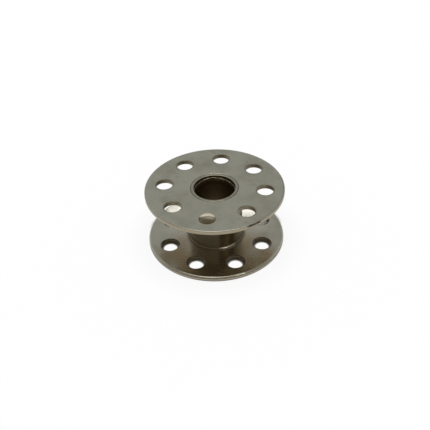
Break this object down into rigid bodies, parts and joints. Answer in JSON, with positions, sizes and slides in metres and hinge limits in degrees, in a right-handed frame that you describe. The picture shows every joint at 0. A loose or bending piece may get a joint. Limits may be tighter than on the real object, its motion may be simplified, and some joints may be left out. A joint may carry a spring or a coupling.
{
  "type": "sewing machine bobbin",
  "caption": "Flat metal bobbin for a lockstitch sewing machine: a hub tube with a through bore, riveted between two round flanges that have a ring of thread holes each.",
  "frame": {"origin": "centre of the lower flange's outer face, on the bobbin's axis", "axes": "+Z along the bore from the lower flange to the upper flange; +X through one thread hole of the upper flange"},
  "size_m": [0.021, 0.021, 0.0094],
  "materials": {
    "flange_plate": "nickel-plated sheet steel, satin, lightly scratched",
    "hub_plate": "nickel-plated turned steel, slightly darker in the bore"
  },
  "bodies": {
    "root": {"upper_flange": "flange_plate", "lower_flange": "flange_plate", "hub_tube": "hub_plate"}
  },
  "joints": []
}
